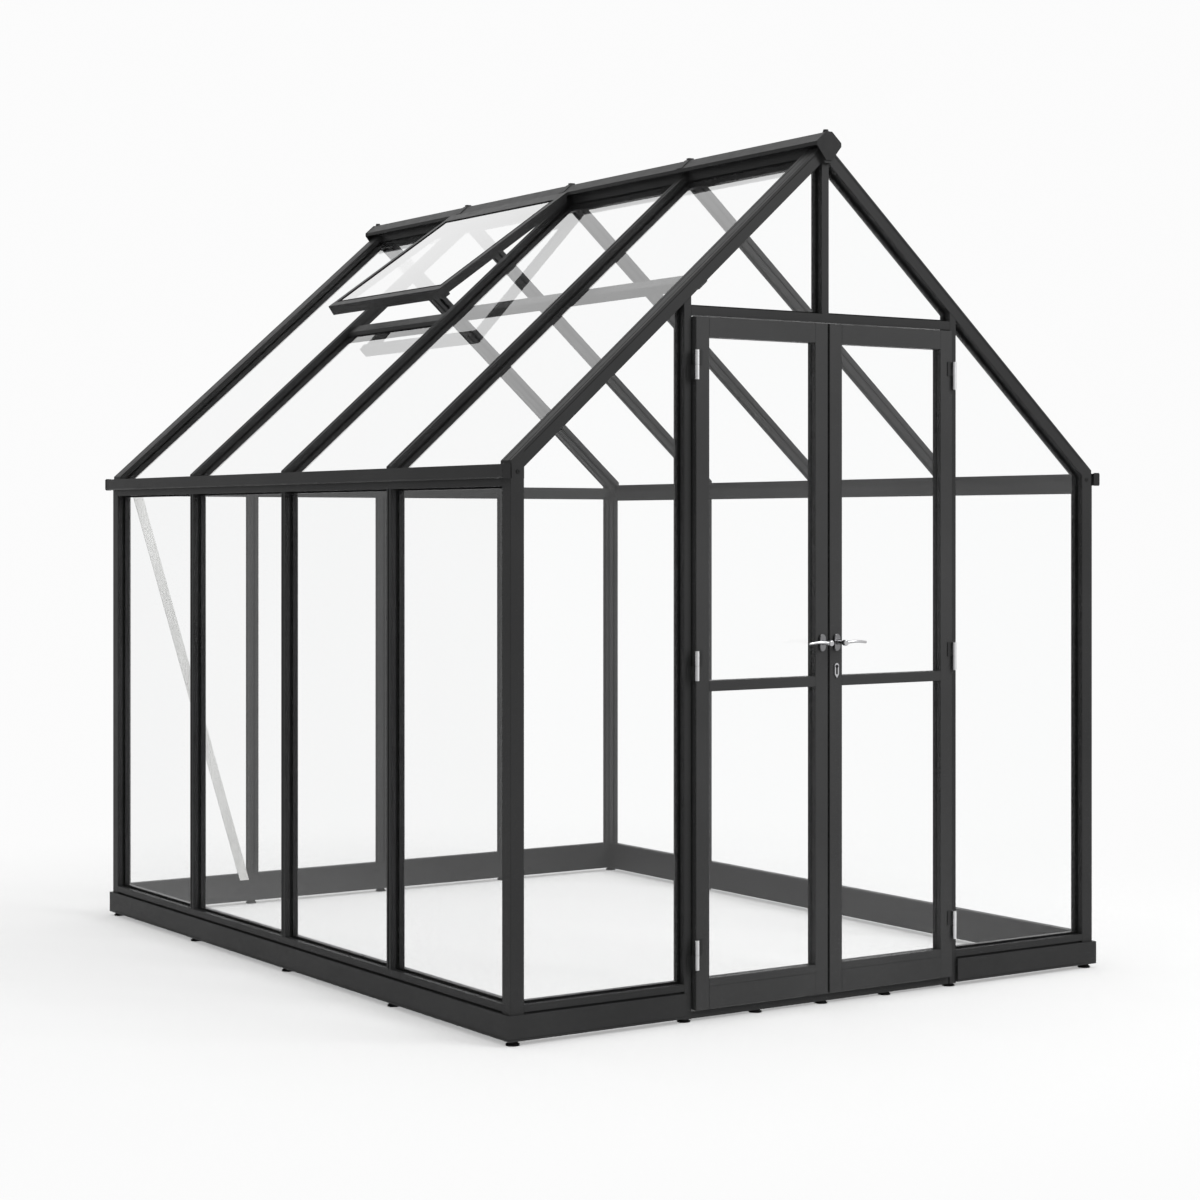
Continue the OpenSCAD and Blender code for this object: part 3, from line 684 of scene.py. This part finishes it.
@dataclass
class Gaskets:
    """Rubber seals that run round the edge of each pane.

    Attributes:
        palette: the finishes.
        width: width of the seal on the glass.
        height: height of the seal over the glass.
        edge: radius of its rounded edges.
        edge_steps: faces across a rounded edge.
        flat: greatest angle between faces that count as one.
        BROAD: least area of a pane's face, in square metres.
        LOOKS_UP: least upward share of the normal of a roof pane's upper face.
    """

    BROAD = 0.02
    LOOKS_UP = 0.3

    palette: Palette
    width: float = 5 * MM
    height: float = 3 * MM
    edge: float = 0.8 * MM
    edge_steps: int = 2
    flat: float = math.radians(1)

    def looks(self, face: bpy.types.MeshPolygon, facing: Facing) -> bool:
        """Whether a pane's face carries a seal.

        Args:
            face: face of the pane.
            facing: which faces of this pane are sealed.

        Returns:
            True for a broad face on the wanted side.
        """
        if face.area < self.BROAD:
            return False
        if facing is Facing.UP:
            return face.normal.z > self.LOOKS_UP
        if facing is Facing.FRONT_AND_BACK:
            return abs(face.normal.y) > STRAIGHT
        return face.normal.dot(face.center - Vector(MIDDLE)) > 0.0

    def build(self, node: str, facing: Facing, body: str, name: str) -> None:
        """Makes the seals of one node's panes.

        Args:
            node: glass node.
            facing: which faces are sealed.
            body: body that the seals move with.
            name: name of the piece.
        """
        glass = Bench.copy_to(frame["nodes"][node], Matrix.Identity(4))
        glass.parent = None
        for key in list(glass.keys()):
            del glass[key]
        Bench.take(glass)
        bpy.ops.object.mode_set(mode="EDIT")
        bpy.ops.mesh.select_all(action="SELECT")
        bpy.ops.mesh.remove_doubles(threshold=WELD)
        bpy.ops.mesh.dissolve_limited(angle_limit=self.flat)
        bpy.ops.object.mode_set(mode="OBJECT")
        Bench.faces_where(glass, lambda face: not self.looks(face, facing))
        bpy.ops.mesh.delete(type="FACE")
        bpy.ops.mesh.select_all(action="SELECT")
        bpy.ops.mesh.inset(thickness=self.width, use_individual=True, use_even_offset=True)
        bpy.ops.mesh.delete(type="FACE")
        bpy.ops.object.mode_set(mode="OBJECT")
        Bench.apply(glass, "SOLIDIFY", thickness=self.height, offset=1.0)
        Bench.bevel(glass, self.edge, self.edge_steps)
        glass.name = name
        glass.data.name = name
        Bench.finish(glass, self.palette.get("rubber"), body, "feet")

    def build_all(self) -> None:
        """Makes the seals of the house and of both leaves."""
        self.build("wall_glass", Facing.OUT, "frame", "wall_seals")
        self.build("front_glass", Facing.OUT, "frame", "front_seals")
        self.build("gable_glass", Facing.OUT, "frame", "gable_seals")
        self.build("roof_glass", Facing.UP, "frame", "roof_seals")
        self.build("vent_glass", Facing.UP, "frame", "vent_seals")
        for side in Side:
            leaf = f"{side.value}_door"
            self.build(f"{leaf}_glass", Facing.FRONT_AND_BACK, leaf, f"{leaf}_seals")


@dataclass
class LeverHandle:
    """Round neck and boss with a bowed, tapering grip, in place of the plain lever.

    Attributes:
        palette: the finishes.
        neck: radius of the neck.
        sunk: reach of the neck into the leaf.
        boss: radius of the boss.
        boss_long: length of the boss.
        rim: radius of the boss's rounded rim.
        root: half thickness and half height of the grip at the boss.
        tip: half thickness and half height of the grip at its end.
        bow: rise of the grip's middle.
        steps: sections along the grip.
        stem_sides: sides of the neck and the boss.
        grip_sides: sides of the grip.
        RIM_TURNS: angles of the sections round the boss's rim, in degrees.
        END_TURNS: angles of the sections round the grip's end, in degrees.
    """

    RIM_TURNS = (0.0, 30.0, 60.0, 90.0)
    END_TURNS = (30.0, 55.0, 75.0)

    palette: Palette
    neck: float = 6.5 * MM
    sunk: float = 12 * MM
    boss: float = 9.5 * MM
    boss_long: float = 15 * MM
    rim: float = 3 * MM
    root: tuple[float, float] = (4.8 * MM, 5.4 * MM)
    tip: tuple[float, float] = (3.8 * MM, 4.2 * MM)
    bow: float = 3.5 * MM
    steps: int = 12
    stem_sides: int = 28
    grip_sides: int = 24

    def stem(self, axis: Vector, front: float) -> bpy.types.Object:
        """Turns the neck and the boss out of a circle.

        Args:
            axis: point where the axis leaves the leaf.
            front: foremost reach of the lever.

        Returns:
            The stem.
        """
        Bench.clear()
        start = Vector((axis.x, axis.y + self.sunk, axis.z))
        bpy.ops.mesh.primitive_circle_add(
            vertices=self.stem_sides, radius=self.neck, fill_type="NGON", location=start,
            rotation=(QUARTER_TURN, 0.0, 0.0),
        )
        stem = bpy.context.object
        Bench.settle(stem)
        bpy.ops.object.mode_set(mode="EDIT")
        bpy.ops.mesh.select_mode(type="FACE")
        bpy.ops.mesh.select_all(action="SELECT")
        boss_back = front + self.boss_long
        half_rim = self.rim / 2
        stops = [
            (boss_back, self.neck),
            (boss_back, self.boss - half_rim),
            (boss_back - half_rim, self.boss),
        ]
        for turn in self.RIM_TURNS:
            arc = math.radians(turn)
            stops.append(
                (front + self.rim * (1.0 - math.sin(arc)), self.boss - self.rim * (1.0 - math.cos(arc)))
            )
        place, size = start.y, self.neck
        for y, radius in stops:
            bpy.ops.mesh.extrude_region_move(TRANSFORM_OT_translate={"value": (0.0, y - place, 0.0)})
            share = radius / size
            bpy.ops.transform.resize(value=(share, 1.0, share), center_override=(axis.x, y, axis.z))
            place, size = y, radius
        bpy.ops.object.mode_set(mode="OBJECT")
        Bench.outward(stem)
        return stem

    def grip(self, axis: Vector, middle: float, reach: float) -> bpy.types.Object:
        """Draws the grip out of a circle, section by section.

        Args:
            axis: point where the axis leaves the leaf.
            middle: place of the grip's middle in front of the leaf.
            reach: length of the grip from the axis.

        Returns:
            The grip.
        """
        Bench.clear()
        bpy.ops.mesh.primitive_circle_add(
            vertices=self.grip_sides, radius=1.0, fill_type="NGON", location=(axis.x, middle, axis.z),
            rotation=(0.0, QUARTER_TURN, 0.0),
        )
        grip = bpy.context.object
        grip.scale = (self.root[1], self.root[0], 1.0)
        Bench.settle(grip)
        bpy.ops.object.mode_set(mode="EDIT")
        bpy.ops.mesh.select_mode(type="FACE")
        bpy.ops.mesh.select_all(action="SELECT")
        straight = reach - self.tip[1]
        stops = []
        for step in range(1, self.steps + 1):
            share = step / self.steps
            size = [root + (tip - root) * share for root, tip in zip(self.root, self.tip)]
            stops.append((straight * share, self.bow * math.sin(math.pi * share), size))
        for turn in self.END_TURNS:
            arc = math.radians(turn)
            size = [tip * math.cos(arc) for tip in self.tip]
            stops.append((straight + self.tip[1] * math.sin(arc), 0.0, size))
        place, rise, last = 0.0, 0.0, list(self.root)
        for along, lift, size in stops:
            bpy.ops.mesh.extrude_region_move(
                TRANSFORM_OT_translate={"value": (along - place, 0.0, lift - rise)}
            )
            bpy.ops.transform.resize(
                value=(1.0, size[0] / last[0], size[1] / last[1]),
                center_override=(axis.x + along, middle, axis.z + lift),
            )
            place, rise, last = along, lift, size
        bpy.ops.object.mode_set(mode="OBJECT")
        Bench.outward(grip)
        return grip

    def build(self) -> None:
        """Makes the right lever and its mirrored twin."""
        rose_low, rose_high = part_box("right_rose")
        low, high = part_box("right_lever")
        axis = Vector(((rose_low.x + rose_high.x) / 2, rose_high.y, (rose_low.z + rose_high.z) / 2))
        parts = [self.stem(axis, low.y), self.grip(axis, low.y + self.boss_long / 2, high.x - axis.x)]
        right = Bench.merge(parts, "right_lever_handle")
        left = Bench.copy_to(right, FLIP_X)
        left.name = "left_lever_handle"
        left.data.name = left.name
        Bench.outward(left)
        for side, piece in ((Side.RIGHT, right), (Side.LEFT, left)):
            Bench.finish(piece, self.palette.get("chrome"), f"{side.value}_lever", "handle_metal")
            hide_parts(f"{side.value}_lever")


@dataclass
class FootBolts:
    """Low round bolt heads where each gable rafter stands on its corner post.

    Attributes:
        palette: the finishes.
        radius: radius of a head.
        height: height of a head over the rafter.
        inward: distance of a bolt from the end of the rafter.
        upward: distance of a bolt from the foot of the rafter.
        sides: sides of a head.
        ring: share of the radius round the socket.
        socket: depth of the socket as a share of the height.
        edge: width of the rounded edges as a share of the height.
        edge_steps: faces across a rounded edge.
    """

    palette: Palette
    radius: float = 6.5 * MM
    height: float = 2.6 * MM
    inward: float = 22 * MM
    upward: float = 20 * MM
    sides: int = 24
    ring: float = 0.55
    socket: float = 0.7
    edge: float = 0.35
    edge_steps: int = 3

    def build(self) -> None:
        """Models one head and sets it at the four rafter feet."""
        low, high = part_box("gable_rafters")
        Bench.clear()
        spot = Vector((high.x - self.inward, low.y, low.z + self.upward))
        bpy.ops.mesh.primitive_cylinder_add(
            vertices=self.sides, radius=self.radius, depth=2 * self.height, location=spot,
            rotation=(QUARTER_TURN, 0.0, 0.0),
        )
        head = bpy.context.object
        Bench.settle(head)
        Bench.faces_where(head, lambda face: face.normal.y < -STRAIGHT)
        bpy.ops.mesh.inset(thickness=self.ring * self.radius)
        bpy.ops.mesh.extrude_region_move(
            TRANSFORM_OT_translate={"value": (0.0, self.socket * self.height, 0.0)}
        )
        bpy.ops.object.mode_set(mode="OBJECT")
        Bench.bevel(head, self.edge * self.height, self.edge_steps)
        heads = [head, Bench.copy_to(head, FLIP_X)]
        to_back = Matrix.Translation((0.0, low.y + high.y, 0.0)) @ FLIP_Y
        heads += [Bench.copy_to(item, to_back) for item in heads]
        bolts = Bench.merge(heads, "rafter_foot_bolts")
        Bench.outward(bolts)
        Bench.finish(bolts, self.palette.get("moulded"), "frame", "end_caps")


@dataclass(frozen=True)
class Lamp:
    """A square soft lamp that looks at the house.

    Attributes:
        name: name of the lamp.
        place: where it hangs.
        size: side of the lamp.
        power: its power in watts.
        aim: point that it looks at.
    """

    name: str
    place: Point
    size: float
    power: float
    aim: Point = (0.0, 0.0, 1.2)

    def hang(self) -> None:
        """Hangs the lamp, unseen by the camera."""
        data = bpy.data.lights.new(self.name, "AREA")
        data.size = self.size
        data.energy = self.power
        lamp = bpy.data.objects.new(self.name, data)
        lamp.location = self.place
        look = Vector(self.aim) - Vector(self.place)
        lamp.rotation_euler = look.to_track_quat("-Z", "Y").to_euler()
        lamp.visible_camera = False
        bpy.context.scene.collection.objects.link(lamp)


@dataclass
class Studio:
    """Pale floor, soft light and the camera.

    Attributes:
        eye: place of the camera.
        yaw: turn of the camera to the right, in degrees.
        lens: focal length in millimetres.
        sensor: width of the sensor in millimetres.
        sight: greatest distance that the camera sees.
        lift: vertical shift of the frame.
        room: brightness of the white room.
        shade: brightness of the room's left wall in reflections.
        shade_span: sideways directions between which the left wall turns white.
        fill: strength of the room's light on the object.
        floor_span: side of the floor.
        floor_tone: colour of the floor.
        floor_clear: share of the white room that shows through the floor at its middle.
        floor_fade: distances from the middle between which the floor runs out.
        lamps: the soft lamps.
        panes_deep: glass faces that one line of sight may pass.
    """

    eye: Point = (-5.032, -7.695, 1.538)
    yaw: float = 33.749
    lens: float = 74.33
    sensor: float = 36.0
    sight: float = 200.0
    lift: float = -0.0617
    room: float = 0.97
    shade: float = 0.5
    shade_span: tuple[float, float] = (-0.8, 0.4)
    fill: float = 0.62
    floor_span: float = 60.0
    floor_tone: Colour = (0.93, 0.93, 0.93)
    floor_clear: float = 0.35
    floor_fade: tuple[float, float] = (1.6, 4.0)
    lamps: tuple[Lamp, ...] = (
        Lamp("key_lamp", place=(5.0, -9.0, 7.0), size=5.0, power=640.0),
        Lamp("left_lamp", place=(-9.0, -1.5, 6.0), size=5.0, power=40.0),
        Lamp("top_lamp", place=(0.0, 1.0, 9.5), size=6.0, power=230.0),
    )
    panes_deep: int = 24

    def camera(self) -> None:
        """Sets the camera at the viewpoint."""
        data = bpy.data.cameras.new("viewpoint")
        data.lens = self.lens
        data.sensor_width = self.sensor
        data.shift_y = self.lift
        data.clip_end = self.sight
        camera = bpy.data.objects.new("viewpoint", data)
        camera.location = self.eye
        camera.rotation_euler = (QUARTER_TURN, 0.0, -math.radians(self.yaw))
        bpy.context.scene.collection.objects.link(camera)
        bpy.context.scene.camera = camera

    def world(self) -> None:
        """Makes the white room that the camera, metal and glass see, with a shaded left wall."""
        world = bpy.data.worlds.new("white_room")
        world.use_nodes = True
        tree = world.node_tree
        tree.nodes.clear()

        def backdrop(strength: float) -> bpy.types.Node:
            """Adds an even grey light.

            Args:
                strength: brightness of the light.

            Returns:
                The light's node.
            """
            node = tree.nodes.new("ShaderNodeBackground")
            node.inputs["Color"].default_value = (strength, strength, strength, 1.0)
            return node

        def mixed(share: bpy.types.NodeSocket, low: bpy.types.Node, high: bpy.types.Node) -> bpy.types.Node:
            """Mixes two lights.

            Args:
                share: share of the second light.
                low: the first light.
                high: the second light.

            Returns:
                The node that mixes them.
            """
            node = tree.nodes.new("ShaderNodeMixShader")
            tree.links.new(share, node.inputs["Fac"])
            tree.links.new(low.outputs[0], node.inputs[1])
            tree.links.new(high.outputs[0], node.inputs[2])
            return node

        path = tree.nodes.new("ShaderNodeLightPath")
        seen = tree.nodes.new("ShaderNodeMath")
        seen.operation = "MAXIMUM"
        tree.links.new(path.outputs["Is Camera Ray"], seen.inputs[0])
        tree.links.new(path.outputs["Is Transmission Ray"], seen.inputs[1])
        direction = tree.nodes.new("ShaderNodeTexCoord")
        parts = tree.nodes.new("ShaderNodeSeparateXYZ")
        tree.links.new(direction.outputs["Generated"], parts.inputs[0])
        turn = tree.nodes.new("ShaderNodeMapRange")
        turn.interpolation_type = "SMOOTHSTEP"
        turn.inputs["From Min"].default_value, turn.inputs["From Max"].default_value = self.shade_span
        tree.links.new(parts.outputs["X"], turn.inputs["Value"])
        mirrored = mixed(turn.outputs["Result"], backdrop(self.shade), backdrop(self.room))
        lit = mixed(path.outputs["Is Glossy Ray"], backdrop(self.fill), mirrored)
        whole = mixed(seen.outputs[0], lit, backdrop(self.room))
        out = tree.nodes.new("ShaderNodeOutputWorld")
        tree.links.new(whole.outputs[0], out.inputs["Surface"])
        bpy.context.scene.world = world

    def floor(self) -> None:
        """Lays a pale floor that runs out into the white room."""
        Bench.clear()
        bpy.ops.mesh.primitive_plane_add(size=self.floor_span, location=(0.0, 0.0, 0.0))
        floor = bpy.context.object
        floor.name = "pale_floor"
        graph = NodeGraph("pale_floor")
        paint = graph.add("ShaderNodeBsdfDiffuse", Color=(*self.floor_tone, 1.0))
        gone = graph.add("ShaderNodeBsdfTransparent")
        length = graph.add("ShaderNodeVectorMath", operation="LENGTH")
        graph.join(graph.place(), length.inputs[0])
        near, far = self.floor_fade
        fade = graph.add("ShaderNodeMapRange", From_Min=near, From_Max=far, To_Min=self.floor_clear)
        fade.interpolation_type = "SMOOTHSTEP"
        graph.join(length.outputs["Value"], fade.inputs["Value"])
        mix = graph.add("ShaderNodeMixShader")
        graph.join(fade.outputs["Result"], mix.inputs["Fac"])
        graph.join(paint.outputs["BSDF"], mix.inputs[1])
        graph.join(gone.outputs["BSDF"], mix.inputs[2])
        graph.join(mix.outputs["Shader"], graph.out.inputs["Surface"])
        floor.data.materials.append(graph.material)

    def build(self) -> None:
        """Sets up the camera, the room, the floor and the lamps."""
        self.camera()
        self.world()
        self.floor()
        for lamp in self.lamps:
            lamp.hang()
        scene = bpy.context.scene
        scene.view_settings.view_transform = "Standard"
        scene.cycles.use_adaptive_sampling = False
        scene.cycles.transparent_max_bounces = self.panes_deep
        scene.cycles.denoising_input_passes = "RGB"


def main() -> None:
    """Builds the dressed greenhouse and its studio."""
    logging.basicConfig(level=logging.INFO, format="%(message)s")
    palette = Palette()
    CadDress(palette).dress()
    Gaskets(palette).build_all()
    LeverHandle(palette).build()
    FootBolts(palette).build()
    Studio().build()
    Bench.clear()


if __name__ == "__main__":
    main()
